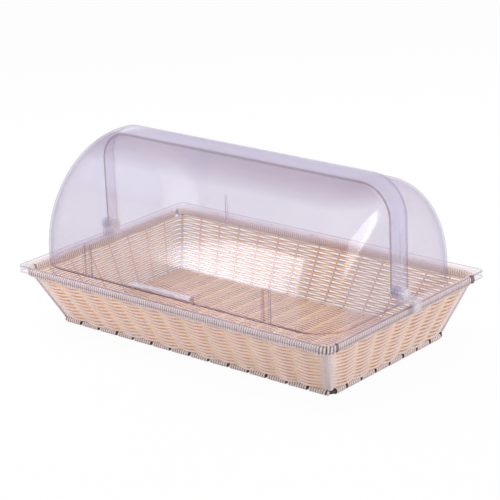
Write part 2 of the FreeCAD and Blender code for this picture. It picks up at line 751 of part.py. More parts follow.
keep(put(rear_hood, z=PIVOT_HEIGHT, turn=about(Z_AXIS, 180)), "rear_hood")


# Pivots at the right end, and their mirror images at the left end

ARM_FRONT = "(arm_offset - arm_width / 2)"
TAB_INSIDE = "(frame_length / 2 + tab_gap)"
arm = box("arm", "%s + tab_thickness - %s" % (TAB_INSIDE, UPRIGHT_X), "arm_width", "arm_height",
          UPRIGHT_X, ARM_FRONT, FRAME_TOP)
tab = box("tab", "tab_thickness", "arm_width", "skirt_height + arm_height",
          TAB_INSIDE, ARM_FRONT, SKIRT_BOTTOM)
upright = box("upright", "upright_thickness", "upright_width", "pivot_rise",
              UPRIGHT_X, "-upright_width / 2", FRAME_TOP)
upright_head = cylinder("upright_head", "upright_width / 2", "upright_thickness",
                        UPRIGHT_X, "0", PIVOT_HEIGHT, ALONG_X)
bracket_solid = fuse("bracket_solid", [arm, tab, upright, upright_head])
bracket_bore = cylinder("bracket_bore", PIN_BORE, "upright_thickness + 2 * overrun",
                        UPRIGHT_X + " - overrun", "0", PIVOT_HEIGHT, ALONG_X)
bracket = cut("bracket_right", bracket_solid, bracket_bore)

CAP_OUTSIDE = "(%s - hood_thickness - side_gap)" % REAR_HALF_LENGTH
CAP_INSIDE = "(%s - cap_thickness)" % CAP_OUTSIDE
PIN_END = "(%s + cap_floor + side_gap)" % CAP_INSIDE
KNOB_INSIDE = "(%s + upright_thickness + side_gap)" % UPRIGHT_X
shaft = cylinder("pin_shaft", "pin_rod / 2", "%s - %s" % (KNOB_INSIDE, PIN_END),
                 PIN_END, "0", PIVOT_HEIGHT, ALONG_X)
knob = cylinder("pin_knob", "knob_diameter / 2", "knob_thickness",
                KNOB_INSIDE, "0", PIVOT_HEIGHT, ALONG_X)
ring_place = "%s + knob_thickness - knob_ring_depth" % KNOB_INSIDE
ring_outside = cylinder("knob_ring_outside", "knob_ring_diameter / 2", "knob_ring_depth + overrun",
                        ring_place, "0", PIVOT_HEIGHT, ALONG_X)
ring_inside = cylinder("knob_ring_inside", "knob_ring_diameter / 2 - knob_ring_width",
                       "knob_ring_depth + 2 * overrun", ring_place + " - overrun", "0",
                       PIVOT_HEIGHT, ALONG_X)
pin = cut("pin_right", fuse("pin_solid", [shaft, knob]), cut("knob_ring", ring_outside, ring_inside))

SPACER_INSIDE = "(%s + side_gap)" % REAR_HALF_LENGTH
spacer_length = "%s - hood_thickness - side_gap - %s" % (FRONT_HALF_LENGTH, SPACER_INSIDE)
spacer_bore = cylinder("spacer_bore", PIN_BORE, "%s + 2 * overrun" % spacer_length,
                       SPACER_INSIDE + " - overrun", "0", PIVOT_HEIGHT, ALONG_X)
spacer = cut("spacer_right", cylinder("spacer_disc", "spacer_diameter / 2", spacer_length,
                                      SPACER_INSIDE, "0", PIVOT_HEIGHT, ALONG_X), spacer_bore)

cap_bore = cylinder("cap_bore", PIN_BORE, "cap_thickness - cap_floor + overrun",
                    CAP_INSIDE + " + cap_floor", "0", PIVOT_HEIGHT, ALONG_X)
cap = cut("cap_right", cylinder("cap_disc", "cap_diameter / 2", "cap_thickness",
                                CAP_INSIDE, "0", PIVOT_HEIGHT, ALONG_X), cap_bore)

for label, item in (("hinge_bracket", bracket), ("pivot_pin", pin),
                    ("pivot_spacer", spacer), ("pivot_cap", cap)):
    keep(item, label + "_right")
    keep(mirrored(label + "_mirror", item), label + "_left")


# Recompute, test and write every sub-part

document.recompute()
for item in document.Objects:
    if "Invalid" in item.State or "Error" in item.State:
        raise RuntimeError("%s did not compute: %s" % (item.Label, item.State))
os.makedirs("parts", exist_ok=True)
for item in pieces:
    shape = item.Shape
    if shape.isNull() or not shape.isValid() or not shape.Solids:
        raise RuntimeError("%s has no valid solid" % item.Label)
for item in pieces:
    item.Shape.exportStep("parts/%s.step" % item.Label)
    bounds = item.Shape.BoundBox
    print("%-26s %2d solid(s) %9.0f mm3  x %6.1f..%6.1f  y %6.1f..%6.1f  z %6.1f..%6.1f" % (
        item.Label, len(item.Shape.Solids), item.Shape.Volume,
        bounds.XMin, bounds.XMax, bounds.YMin, bounds.YMax, bounds.ZMin, bounds.ZMax))
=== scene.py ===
import math
from collections import namedtuple

import bmesh
import bpy
from mathutils import Matrix, Vector


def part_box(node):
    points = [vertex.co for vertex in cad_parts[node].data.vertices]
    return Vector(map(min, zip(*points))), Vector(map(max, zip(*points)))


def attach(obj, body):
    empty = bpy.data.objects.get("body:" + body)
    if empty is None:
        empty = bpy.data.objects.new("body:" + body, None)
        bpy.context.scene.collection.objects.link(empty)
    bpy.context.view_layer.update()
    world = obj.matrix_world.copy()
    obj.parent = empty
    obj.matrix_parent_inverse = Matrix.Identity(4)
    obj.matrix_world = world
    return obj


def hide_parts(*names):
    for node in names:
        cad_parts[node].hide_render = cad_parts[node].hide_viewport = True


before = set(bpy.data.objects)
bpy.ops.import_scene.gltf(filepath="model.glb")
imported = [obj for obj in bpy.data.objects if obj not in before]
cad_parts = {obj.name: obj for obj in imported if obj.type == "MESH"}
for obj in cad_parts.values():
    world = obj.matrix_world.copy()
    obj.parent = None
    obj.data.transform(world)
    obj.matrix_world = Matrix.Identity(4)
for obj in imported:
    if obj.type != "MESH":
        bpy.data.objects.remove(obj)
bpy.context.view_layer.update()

MM = 0.001
SIDES = ("front", "back", "left", "right")

# A round-cornered rectangle that the basket follows, by its half sizes, its height and its corners' bend
Ring = namedtuple("Ring", "half_x half_y height bend")

# Where an object's coordinate lies between two values in millimetres, with soft edges outside them
FAR = 1000.0
Band = namedtuple("Band", "axis low high soft", defaults=(-FAR, FAR, 0.3))


# Sizes read from the frame

ROD_RADIUS = 2.5 * MM
RIM_BEND, FOOT_BEND = 16 * MM, 8 * MM
LONG_STAKES, SHORT_STAKES = 13, 7


def wire_ring(box, bend):
    """The centre line of the wire ring that lies in a box."""
    _, high = box
    return Ring(high.x - ROD_RADIUS, high.y - ROD_RADIUS, high.z - ROD_RADIUS, bend)


def in_mm(box):
    """The lowest and the highest corner of a box in millimetres."""
    return [corner / MM for corner in box]


RIM_RING = wire_ring(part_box("top_rim_rod"), RIM_BEND)
FOOT_RING = wire_ring(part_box("foot_rim_rod"), FOOT_BEND)
WALL_RISE = RIM_RING.height - FOOT_RING.height
FRAME_LOW, FRAME_HIGH = in_mm(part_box("cover_frame"))
FRONT_LOW, FRONT_HIGH = in_mm(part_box("front_hood"))
REAR_LOW, _ = in_mm(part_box("rear_hood"))


# Lines that the weave and the windings follow

def blend_value(low, high, share):
    return low + (high - low) * share


def limited(value, low=0, high=1):
    return min(high, max(low, value))


def ring_at(height):
    """The wall's middle line at a height."""
    share = (height - FOOT_RING.height) / WALL_RISE
    half_x, half_y, bend = (blend_value(getattr(FOOT_RING, part), getattr(RIM_RING, part), share)
                            for part in ("half_x", "half_y", "bend"))
    return Ring(half_x, half_y, height, bend)


def straight_runs(ring):
    """The straight lengths of a ring's long and short sides."""
    return 2 * (ring.half_x - ring.bend), 2 * (ring.half_y - ring.bend)


def loop_length(ring):
    return 2 * sum(straight_runs(ring)) + 2 * math.pi * ring.bend


def loop_point(ring, travelled):
    """A place on a ring, anticlockwise from the middle of the front: point and outward direction."""
    runs = straight_runs(ring)
    corner = ring.bend * math.pi / 2
    travelled = (travelled + runs[0] / 2) % loop_length(ring)
    side = 0
    while side < 3 and travelled > runs[side % 2] + corner:
        travelled -= runs[side % 2] + corner
        side += 1
    run = runs[side % 2]
    distance = (ring.half_y, ring.half_x)[side % 2]
    outward = Vector(((0, -1, 0), (1, 0, 0), (0, 1, 0), (-1, 0, 0))[side])
    along = Vector((-outward.y, outward.x, 0))
    if travelled <= run:
        return outward * distance + along * (travelled - run / 2), outward
    angle = (travelled - run) / ring.bend
    centre = outward * (distance - ring.bend) + along * (run / 2)
    outward = outward * math.cos(angle) + along * math.sin(angle)
    return centre + outward * ring.bend, outward


def upright_places(ring):
    """How far along a ring each stake and corner post stands, in order, and whether it is a corner post."""
    corner = ring.bend * math.pi / 2
    runs = straight_runs(ring)
    middle = 0
    places = []
    for side in range(4):
        half, count = ((ring.half_x, LONG_STAKES), (ring.half_y, SHORT_STAKES))[side % 2]
        places += [(middle + (2 * (i + 1) / (count + 1) - 1) * half, False) for i in range(count)]
        places.append((middle + (runs[side % 2] + corner) / 2, True))
        middle += sum(runs) / 2 + corner
    total = loop_length(ring)
    return sorted((place % total, is_post) for place, is_post in places)


# Short ways to build a material

WHITE = (1, 1, 1)


def material(name):
    """A new material: itself, its node tree, its shader and its output."""
    made = bpy.data.materials.new(name)
    made.use_nodes = True
    tree = made.node_tree
    return made, tree, tree.nodes["Principled BSDF"], tree.nodes["Material Output"]


def feed(tree, value, socket):
    """Link a node's output to a socket, or set the socket to a number or a colour."""
    if isinstance(value, bpy.types.NodeSocket):
        tree.links.new(value, socket)
    elif isinstance(value, (int, float)):
        socket.default_value = value
    else:
        socket.default_value = (*value, 1)


def calculated(tree, operation, *values, clamp=False):
    """The result of a calculation with numbers and node outputs."""
    made = tree.nodes.new("ShaderNodeMath")
    made.operation = operation
    made.use_clamp = clamp
    for value, socket in zip(values, made.inputs):
        feed(tree, value, socket)
    return made.outputs[0]


def ramp(tree, value, *stops):
    """A colour that changes with a value."""
    made = tree.nodes.new("ShaderNodeValToRGB")
    elements = made.color_ramp.elements
    while len(elements) < len(stops):
        elements.new(0.5)
    for element, (place, colour) in zip(elements, stops):
        element.position = place
        element.color = (*colour, 1)
    tree.links.new(value, made.inputs["Fac"])
    return made.outputs["Color"]


def mixed(tree, blend, factor, first, second):
    made = tree.nodes.new("ShaderNodeMix")
    made.data_type = "RGBA"
    made.blend_type = blend
    for value, socket in ((factor, made.inputs[0]), (first, made.inputs[6]), (second, made.inputs[7])):
        feed(tree, value, socket)
    return made.outputs[2]


def noise(tree, scale, detail, stretch=(1, 1, 1)):
    """Noise in the object's own coordinates, in metres."""
    place = tree.nodes.new("ShaderNodeTexCoord")
    mapping = tree.nodes.new("ShaderNodeMapping")
    mapping.inputs["Scale"].default_value = stretch
    tree.links.new(place.outputs["Object"], mapping.inputs["Vector"])
    made = tree.nodes.new("ShaderNodeTexNoise")
    made.inputs["Scale"].default_value = scale
    made.inputs["Detail"].default_value = detail
    tree.links.new(mapping.outputs["Vector"], made.inputs["Vector"])
    return made.outputs["Fac"]


def bump(tree, shader, height, strength, distance):
    """Raise a shader's surface where a pattern is high."""
    made = tree.nodes.new("ShaderNodeBump")
    made.inputs["Strength"].default_value = strength
    made.inputs["Distance"].default_value = distance
    tree.links.new(height, made.inputs["Height"])
    tree.links.new(made.outputs["Normal"], shader.inputs["Normal"])


def attribute(tree, name):
    """A value kept on the piece's vertices."""
    made = tree.nodes.new("ShaderNodeAttribute")
    made.attribute_name = name
    return made.outputs["Fac"]


def coordinate(tree, axis):
    """The object's own X, Y or Z, or how far out a place lies, past the sides of the cover's frame."""
    place = tree.nodes.new("ShaderNodeTexCoord")
    parts = tree.nodes.new("ShaderNodeSeparateXYZ")
    tree.links.new(place.outputs["Object"], parts.inputs[0])
    if axis != "out":
        return parts.outputs[axis]
    past = [calculated(tree, "SUBTRACT", calculated(tree, "ABSOLUTE", parts.outputs[name]), half * MM)
            for name, half in (("X", FRAME_HIGH.x), ("Y", FRAME_HIGH.y))]
    return calculated(tree, "MAXIMUM", *past)


def within(tree, band):
    """1 inside a band, falling to 0 over its soft edges."""
    value = coordinate(tree, band.axis)
    ends = []
    for start, stop in ((band.low - band.soft, band.low), (band.high + band.soft, band.high)):
        step = tree.nodes.new("ShaderNodeMapRange")
        step.inputs["From Min"].default_value = start * MM
        step.inputs["From Max"].default_value = stop * MM
        tree.links.new(value, step.inputs["Value"])
        ends.append(step.outputs["Result"])
    return calculated(tree, "MULTIPLY", *ends)


def overlap(tree, bands):
    """1 where all the bands meet, and everywhere when there are none."""
    here = 1.0
    for band in bands:
        here = calculated(tree, "MULTIPLY", here, within(tree, band))
    return here


def mix_shaders(tree, output, share, first, second):
    """Show the first shader, with a share of the second over it."""
    both = tree.nodes.new("ShaderNodeMixShader")
    tree.links.new(share, both.inputs[0])
    tree.links.new(first.outputs[0], both.inputs[1])
    tree.links.new(second.outputs[0], both.inputs[2])
    tree.links.new(both.outputs[0], output.inputs["Surface"])


# Plastic cane

CANE_ROUGHNESS = 0.26
CANE_STOPS = (0.36, 0.54, 0.74, 0.92)
# Painted warm shade for the cane inside the basket
INNER_WARM_SHADE = (1.0, 0.88, 0.64)
BLOTCH = (0.95, 0.92, 0.90)


def cane_material(name, deep, warm, mellow, pale):
    """Plastic cane with painted light and shade: pale on the weave's lit crests, warm on its flanks and deep
    in the painted shade where it runs behind a wire.
    """
    made, tree, shader, _ = material(name)
    # The ramp paints light and shade by how far each place lies out of the weave
    level = calculated(tree, "MULTIPLY_ADD", attribute(tree, "painted_light"), 0.5, 0.5, clamp=True)
    colour = ramp(tree, level, *zip(CANE_STOPS, (deep, warm, mellow, pale)))
    blotches = ramp(tree, noise(tree, scale=55, detail=2), (0.3, BLOTCH), (0.7, WHITE))
    mottled = mixed(tree, "MULTIPLY", 1.0, colour, blotches)
    # Painted warm shade on the sides that face into the basket
    shaded = mixed(tree, "MULTIPLY", attribute(tree, "inner_warm_shade"), mottled, INNER_WARM_SHADE)
    tree.links.new(shaded, shader.inputs["Base Color"])
    streaks = noise(tree, scale=900, detail=2, stretch=(0.2, 0.2, 1))
    bump(tree, shader, streaks, strength=0.12, distance=0.2 * MM)
    shader.inputs["Roughness"].default_value = CANE_ROUGHNESS
    return made


# Each cane's colours run from its deepest painted shade to its painted lit crest
pale_cane = cane_material("pale_cane", deep=(0.84, 0.50, 0.24), warm=(0.90, 0.64, 0.40),
                          mellow=(0.87, 0.73, 0.60), pale=(0.81, 0.70, 0.68))
bound_cane = cane_material("bound_cane", deep=(0.50, 0.36, 0.32), warm=(0.76, 0.60, 0.55),
                           mellow=(0.90, 0.78, 0.75), pale=(0.93, 0.83, 0.83))


# Coated wire

WIRE_SMOOTH, WIRE_ROUGH = (0.3, 0.3, 0.3), (0.55, 0.55, 0.55)


def wire_material(name, dark, light, cane_light=None, heights=None):
    """Coated wire; in a band of heights the cane round it lends it another colour."""
    made, tree, shader, _ = material(name)
    speckle = noise(tree, scale=400, detail=3)
    colour = ramp(tree, speckle, (0.35, dark), (0.75, light))
    if heights:
        colour = mixed(tree, "MIX", within(tree, heights), colour, cane_light)
    tree.links.new(colour, shader.inputs["Base Color"])
    rough = ramp(tree, speckle, (0.3, WIRE_SMOOTH), (0.8, WIRE_ROUGH))
    tree.links.new(rough, shader.inputs["Roughness"])
    return made


dark_wire = wire_material("dark_wire", dark=(0.012, 0.009, 0.008), light=(0.05, 0.032, 0.022))
stake_wire = wire_material("stake_wire", dark=(0.03, 0.016, 0.01), light=(0.10, 0.05, 0.03),
                           cane_light=(0.80, 0.58, 0.47), heights=Band("Z", low=8, high=78, soft=0.5))
base_wire = wire_material("base_wire", dark=(0.66, 0.46, 0.36), light=(0.78, 0.56, 0.44))
post_wire = wire_material("post_wire", dark=(0.02, 0.012, 0.01), light=(0.06, 0.035, 0.028),
                          cane_light=(0.66, 0.57, 0.62), heights=Band("Z", low=9, high=77, soft=0.5))


# Clear plastic

GLOSS_BODY = (0.86, 0.84, 0.90)
GLOSS_ROUGHNESS = 0.12
GLOSS_IOR, PLASTIC_IOR = 4.0, 1.45
MOST_GLOSS = 0.19
MIDDLE_SHARE, LATE_SHARE = 0.16, 0.42
FAINT_CLOUD = (0.985, 0.985, 0.985)


def clear_material(name, face, edge, gloss, haze, painted_shades=(), milky=()):
    """Clear plastic: a light tint straight on, a deeper one at a glance, and a gloss that grows with it.

    Each of the painted shades is a colour and the bands where it darkens what passes as painted shade, and
    each of the milky places an amount of cloudiness and the bands where it lies.
    """
    made, tree, shader, output = material(name)
    glance = tree.nodes.new("ShaderNodeLayerWeight")
    glance.inputs["Blend"].default_value = 0.5
    middle, late = (tuple(blend_value(f, e, share) for f, e in zip(face, edge))
                    for share in (MIDDLE_SHARE, LATE_SHARE))
    passed = ramp(tree, glance.outputs["Facing"], (0.0, face), (0.55, middle), (0.88, late), (0.99, edge))
    cloud = ramp(tree, noise(tree, scale=14, detail=2), (0.3, FAINT_CLOUD), (0.7, WHITE))
    passed = mixed(tree, "MULTIPLY", 1.0, passed, cloud)
    # Painted shade lines and bands darken what passes
    for colour, *bands in painted_shades:
        passed = mixed(tree, "MULTIPLY", overlap(tree, bands), passed, colour)
    through = tree.nodes.new("ShaderNodeBsdfTransparent")
    tree.links.new(passed, through.inputs["Color"])

    # The shader carries the whole reflection, and its share of the mix sets how much of it there is
    shader.inputs["Base Color"].default_value = (*GLOSS_BODY, 1)
    shader.inputs["Roughness"].default_value = GLOSS_ROUGHNESS
    shader.inputs["IOR"].default_value = GLOSS_IOR
    shader.inputs["Specular IOR Level"].default_value = 1.0
    bump(tree, shader, noise(tree, scale=30, detail=1), strength=0.04, distance=1 * MM)
    fresnel = tree.nodes.new("ShaderNodeFresnel")
    fresnel.inputs["IOR"].default_value = PLASTIC_IOR
    gloss_share = calculated(tree, "MULTIPLY_ADD", fresnel.outputs["Fac"], gloss, haze, clamp=True)
    gloss_share = calculated(tree, "MINIMUM", gloss_share, MOST_GLOSS)
    for amount, *bands in milky:
        gloss_share = calculated(tree, "MULTIPLY_ADD", overlap(tree, bands), amount, gloss_share, clamp=True)
    mix_shaders(tree, output, gloss_share, through, shader)
    return made


# Painted shade for the clear plastic's edge lines: a faint one and a brown one
FAINT_EDGE_SHADE, BROWN_EDGE_SHADE = (0.84, 0.80, 0.86), (0.50, 0.35, 0.37)
RIB_X = 161.0


def front_hood_finish():
    """The front hood: a faint painted line at its back edge, and painted shade at its foot, towards its
    crown, along its lip's edges and its ribs' sides.
    """
    back_edge = Band("Y", low=FRONT_HIGH.y - 1.2)
    foot = Band("Z", high=FRONT_LOW.z + 1.3)
    foot_front = Band("Y", high=-154.0, soft=4.0)
    crown = Band("Z", low=FRONT_HIGH.z - 1.7, soft=26.0)
    before_pivots = Band("Y", high=-24.0, soft=4.0)
    lip_reach = Band("Y", high=-156.5)
    lip_end = Band("X", low=37.8)
    lip_edge = Band("Y", high=FRONT_LOW.y + 0.7)
    lip_height = Band("Z", high=105.6)
    rib_half = 6.0
    rib_depth = Band("Y", high=-100.0, soft=0.5)
    rib_height = Band("Z", low=94.0, high=140.0, soft=1.0)
    rib_sides = [Band("X", low=side - 0.5, high=side + 0.5, soft=0.2)
                 for rib in (-RIB_X, RIB_X) for side in (rib - rib_half, rib + rib_half)]
    painted_shades = [(FAINT_EDGE_SHADE, back_edge),
             ((0.86, 0.81, 0.86), foot),
             ((0.55, 0.48, 0.55), foot, foot_front),
             ((0.80, 0.76, 0.80), crown, before_pivots),
             ((0.66, 0.58, 0.64), lip_reach, lip_end),
             ((0.62, 0.55, 0.62), lip_edge, lip_height)]
    painted_shades += [((0.72, 0.66, 0.72), side, rib_depth, rib_height) for side in rib_sides]
    milky_lip = (0.28, Band("Y", high=-158.0, soft=0.5), Band("Z", high=106.0))
    return clear_material("clear_front_hood", face=(0.968, 0.964, 0.998), edge=(0.54, 0.48, 0.63), gloss=1.2,
                          haze=0.0, painted_shades=painted_shades, milky=(milky_lip,))


def rear_hood_finish():
    """The rear hood: a brown painted line at its front edge, painted shade at its thin ribs, and cloudy
    where the hoods overlap.
    """
    front_edge = Band("Y", high=REAR_LOW.y + 0.4, soft=0.25)
    rib_shift, rib_half = 1.6, 0.6
    rib_depth = Band("Y", low=100.0, soft=0.5)
    rib_height = Band("Z", low=94.0, high=132.0, soft=1.0)
    ribs = [Band("X", low=rib - rib_shift - rib_half, high=rib - rib_shift + rib_half, soft=0.2)
            for rib in (-RIB_X, RIB_X)]
    painted_shades = [(BROWN_EDGE_SHADE, front_edge)]
    painted_shades += [((0.62, 0.50, 0.52), rib, rib_depth, rib_height) for rib in ribs]
    milky_overlap = (0.12, Band("Y", low=-9.9, high=14.0, soft=3.0), Band("Z", high=205.0, soft=30.0))
    return clear_material("clear_rear_hood", face=(0.976, 0.971, 1.0), edge=(0.62, 0.56, 0.70), gloss=1.2,
                          haze=0.0, painted_shades=painted_shades, milky=(milky_overlap,))


def frame_finish():
    """The cover's frame: a faint painted line underneath, and a dark painted line along its outer top edge,
    standing in for the light its rounded edge bends.
    """
    underside = Band("Z", high=FRAME_LOW.z + 0.7)
    outermost = Band("out", low=-1.2, soft=0.6)
    top = Band("Z", low=FRAME_HIGH.z - 1.4)
    painted_shades = ((FAINT_EDGE_SHADE, underside), ((0.68, 0.62, 0.69), outermost, top))
    return clear_material("clear_moulding", face=(0.996, 0.994, 0.996), edge=(0.86, 0.81, 0.86), gloss=0.25,
                          haze=0.02, painted_shades=painted_shades)


clear_front = front_hood_finish()
clear_rear = rear_hood_finish()
clear_moulding = frame_finish()
clear_bracket = clear_material("clear_bracket", face=(0.985, 0.98, 0.99), edge=(0.66, 0.60, 0.70), gloss=1.0,
                               haze=0.10, milky=((0.14,),))
clear_pivot = clear_material("cloudy_clear", face=(0.985, 0.98, 0.995), edge=(0.40, 0.34, 0.44), gloss=1.6,
                             haze=0.12, milky=((0.30,),))

# The finish of each CAD node, by the start of its name
NODE_FINISHES = (("front_hood", clear_front), ("rear_hood", clear_rear), ("cover_frame", clear_moulding),
                 ("hinge_bracket", clear_bracket), ("pivot_", clear_pivot), ("stakes_", stake_wire),
                 ("base_stakes", base_wire), ("corner_post", post_wire), ("", dark_wire))
for node_name, cad_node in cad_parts.items():
    finish = next(finish for start, finish in NODE_FINISHES if node_name.startswith(start))
    cad_node.data.materials.clear()
    cad_node.data.materials.append(finish)


# Woven strands of the walls and the floor

STRAND_WIDTH, STRAND_THICKNESS = 2.9 * MM, 1.5 * MM
ROW_STEP = 3.05 * MM
SAMPLES_PER_SPAN = 7
FLAT_AT_STAKE = 0.06

WALL_WEAVE_DEPTH = 2.25 * MM
ROW_SWAY = 0.38 * MM
FIRST_ROW, LAST_ROW = 10.2 * MM, 76.2 * MM
# How near the corner posts the strands are painted as lit as a crest, and over what distance that fades
PAINTED_LIT_BY_POST, PAINTED_LIT_FADE = 9 * MM, 26 * MM

FLOOR_WEAVE_DEPTH = 2.05 * MM
FLOOR_GAP_X, FLOOR_GAP_Y = 4.6 * MM, 6.6 * MM
# The floor strands' share of painted warm shade
FLOOR_WARM_SHADE = 0.8
# How the painted light follows a strand's depth, facing and edges, how lit it is painted beside the posts,
# and how strongly inward faces take painted warm shade
DEPTH_LIFT, FACING_LIFT, EDGE_DROP = 0.65, 0.9, 0.55
BY_POST_DEPTH = 0.9
INNER_CONTRAST = 1.5
BASE_LOW, BASE_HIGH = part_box("base_stakes")
FLOOR_Z = (BASE_LOW.z + BASE_HIGH.z) / 2


def add_piece(name, mesh, finish):
    """A new object from a mesh, with its finish."""
    piece = bpy.data.objects.new(name, mesh)
    bpy.context.scene.collection.objects.link(piece)
    piece.data.materials.append(finish)
    return piece


def strand_piece(name, rows):
    """A mesh piece of flat strands; each row is its points, their tilts and whether it is a closed loop."""
    curve = bpy.data.curves.new(name, "CURVE")
    curve.dimensions = "3D"
    curve.twist_mode = "Z_UP"
    curve.extrude = (STRAND_WIDTH - STRAND_THICKNESS) / 2
    curve.bevel_depth = STRAND_THICKNESS / 2
    curve.bevel_resolution = 1
    curve.fill_mode = "FULL"
    for points, tilts, closed in rows:
        spline = curve.splines.new("POLY")
        spline.points.add(len(points) - 1)
        for place, point, tilt in zip(spline.points, points, tilts):
            place.co = (*point, 1)
            place.tilt = tilt
        spline.use_cyclic_u = closed
        spline.use_smooth = True
    source = bpy.data.objects.new(name, curve)
    bpy.context.scene.collection.objects.link(source)
    bpy.context.view_layer.update()
    seen = bpy.context.evaluated_depsgraph_get()
    mesh = bpy.data.meshes.new_from_object(source.evaluated_get(seen))
    bpy.data.objects.remove(source)
    mesh.name = name
    return add_piece(name, mesh, pale_cane)


def keep_marks(mesh, name, values):
    """Keep a value on every vertex, for the cane's material."""
    mesh.attributes.new(name, "FLOAT", "POINT").data.foreach_set("value", values)


def painted_light_level(depth, facing):
    """How lit a strand is painted: 1 on a crest's face, about 0 in painted shade behind a wire, lower still
    at the strand's edges there.
    """
    outwards = limited(depth * math.copysign(1, facing), -1)
    return DEPTH_LIFT * outwards + FACING_LIFT * abs(facing) - EDGE_DROP


def wall_marks(place, normal):
    """The painted light on a place on a wall strand, from how far it lies out of the weave along its normal,
    and its painted warm shade, from how far it faces in.
    """
    ring = ring_at(place.z)
    over_x = abs(place.x) - ring.half_x + ring.bend
    over_y = abs(place.y) - ring.half_y + ring.bend
    if over_x > 0 and over_y > 0:
        reach = math.hypot(over_x, over_y)
        way_x, way_y, depth = over_x / reach, over_y / reach, reach - ring.bend
    elif over_x > over_y:
        way_x, way_y, depth = 1, 0, over_x - ring.bend
    else:
        way_x, way_y, depth = 0, 1, over_y - ring.bend
    facing = math.copysign(way_x, place.x) * normal.x + math.copysign(way_y, place.y) * normal.y
    # Beside the corner posts the strands run inside them, and are painted as lit there as on a crest
    from_corner = max(ring.half_x - abs(place.x), ring.half_y - abs(place.y))
    away = limited((from_corner - PAINTED_LIT_BY_POST) / PAINTED_LIT_FADE)
    level = blend_value(BY_POST_DEPTH * math.copysign(1, facing), depth / WALL_WEAVE_DEPTH, away)
    return painted_light_level(level, facing), limited(-INNER_CONTRAST * facing)


def floor_marks(place, normal):
    """The same for a place on a floor strand."""
    return painted_light_level((place.z - FLOOR_Z) / FLOOR_WEAVE_DEPTH, normal.z), FLOOR_WARM_SHADE


def mark_strands(piece, marks_at):
    """Keep on every vertex its painted light, from how far it lies out of the weave, and its painted warm
    shade, from how far it faces into the basket.
    """
    marks = [marks_at(vert.co, vert.normal) for vert in piece.data.vertices]
    keep_marks(piece.data, "painted_light", [painted_light for painted_light, _ in marks])
    keep_marks(piece.data, "inner_warm_shade", [inner_warm_shade for _, inner_warm_shade in marks])


def swing(share):
    """From 1 on one stake's side to -1 on the next one's, flat at the stakes."""
    return math.cos(math.pi * limited((share - FLAT_AT_STAKE) / (1 - 2 * FLAT_AT_STAKE)))


def wall_row(number, height):
    """One loop of cane round the basket, in front of one stake, behind the next and inside the posts."""
    ring = ring_at(height)
    places = upright_places(ring)
    total = loop_length(ring)
    lean_x = math.atan2(RIM_RING.half_x - FOOT_RING.half_x, WALL_RISE)
    lean_y = math.atan2(RIM_RING.half_y - FOOT_RING.half_y, WALL_RISE)
    turns = [1 if (index + number) % 2 else -1 for index in range(len(places))]
    depths = [-1 if is_post else turn for turn, (_, is_post) in zip(turns, places)]
    points, tilts = [], []
    for index, (start, _) in enumerate(places):
        following = (index + 1) % len(places)
        stop = places[following][0] + (total if following == 0 else 0)
        for step in range(SAMPLES_PER_SPAN):
            share = step / SAMPLES_PER_SPAN
            at_start = (1 + swing(share)) / 2
            point, outward = loop_point(ring, blend_value(start, stop, share))
            lean = lean_x * outward.x ** 2 + lean_y * outward.y ** 2
            depth = WALL_WEAVE_DEPTH * blend_value(depths[following], depths[index], at_start)
            sway = ROW_SWAY * blend_value(turns[following], turns[index], at_start)
            place = point + outward * (depth * math.cos(lean))
            place.z = height - depth * math.sin(lean) - sway
            points.append(place)
            tilts.append(-lean)
    return points, tilts, True


def floor_row(number, y, stops):
    """One strand of the floor, over one base stake and under the next."""
    points = []
    for index, (start, stop) in enumerate(zip(stops, stops[1:])):
        side = 1 if (index + number) % 2 else -1
        for step in range(SAMPLES_PER_SPAN):
            share = step / SAMPLES_PER_SPAN
            height = FLOOR_Z + side * FLOOR_WEAVE_DEPTH * swing(share)
            points.append(Vector((blend_value(start, stop, share), y, height)))
    points.append(Vector((stops[-1], y, FLOOR_Z + side * FLOOR_WEAVE_DEPTH * swing(1))))
    return points, [math.pi / 2] * len(points), False


row_count = round((LAST_ROW - FIRST_ROW) / ROW_STEP)
wall_rows = [wall_row(number, blend_value(FIRST_ROW, LAST_ROW, number / row_count))
             for number in range(row_count + 1)]
walls = strand_piece("woven_wall_strands", wall_rows)
mark_strands(walls, wall_marks)
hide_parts(*["woven_wall_" + side for side in SIDES])
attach(walls, "basket")

floor_half_x, floor_half_y = FOOT_RING.half_x - FLOOR_GAP_X, FOOT_RING.half_y - FLOOR_GAP_Y
base_stakes = [(2 * (i + 1) / (LONG_STAKES + 1) - 1) * FOOT_RING.half_x for i in range(LONG_STAKES)]
floor_stops = [-floor_half_x, *base_stakes, floor_half_x]
row_count = round(2 * floor_half_y / ROW_STEP)
floor_rows = [floor_row(number, blend_value(-floor_half_y, floor_half_y, number / row_count), floor_stops)
              for number in range(row_count + 1)]
floor_weave = strand_piece("woven_floor_strands", floor_rows)
mark_strands(floor_weave, floor_marks)
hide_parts("woven_floor")
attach(floor_weave, "basket")


# Wound bindings of the rim and the foot

STRAP_THICKNESS = 1.6 * MM
STRAP_LEAN = 2.0 * MM
STRAP_SECTION_SIDES = 6
ARC_STEPS = 5
MERGE_GAP = 0.02 * MM
# How sharply the straps' painted shade falls off from crown to edges
STRAP_SHADE_CONTRAST = 3.0
INNER_SHADE = 0.7
INNER_FADE = 2 * MM


def edges_in(items):
    return [item for item in items if isinstance(item, bmesh.types.BMEdge)]


def verts_in(items):
    return [item for item in items if isinstance(item, bmesh.types.BMVert)]


